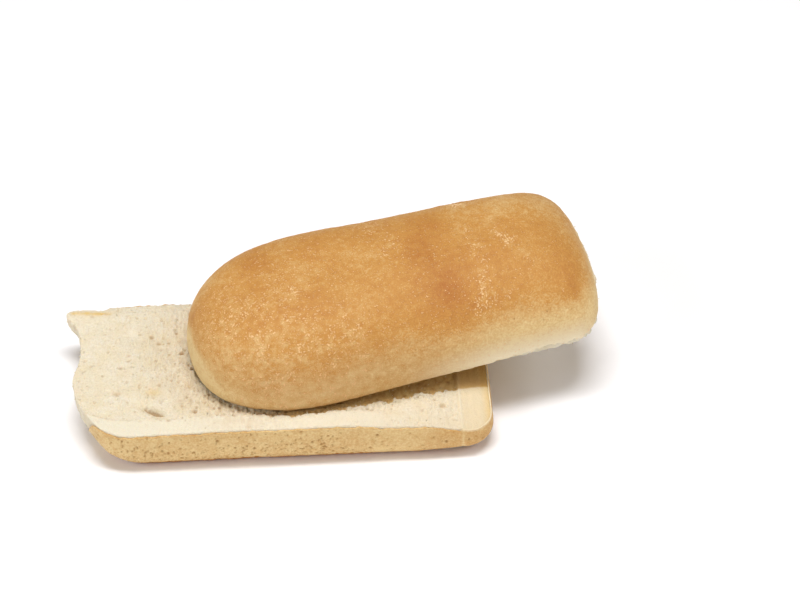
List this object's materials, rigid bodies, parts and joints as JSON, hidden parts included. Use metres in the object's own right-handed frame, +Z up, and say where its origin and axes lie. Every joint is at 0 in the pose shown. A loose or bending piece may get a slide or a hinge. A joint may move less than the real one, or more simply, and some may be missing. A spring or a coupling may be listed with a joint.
{
  "type": "ciabatta hoagie roll",
  "caption": "Long soft bread roll split lengthwise: the bottom half lies cut face up on its flat base and the domed top half rests askew on it.",
  "frame": {"origin": "at floor level, under the middle of the box round both halves", "axes": "+X along the bottom half towards the end that the top half hangs past, +Y from its front to its back, +Z up"},
  "size_m": [0.2512, 0.125, 0.0706],
  "materials": {
    "crust": "baked golden crust, matt with a faint sheen, lightly floured",
    "crumb": "cream bread crumb, matt and finely porous"
  },
  "bodies": {
    "root": {"bottom_half": "crumb", "top_half": "crust"}
  },
  "joints": []
}
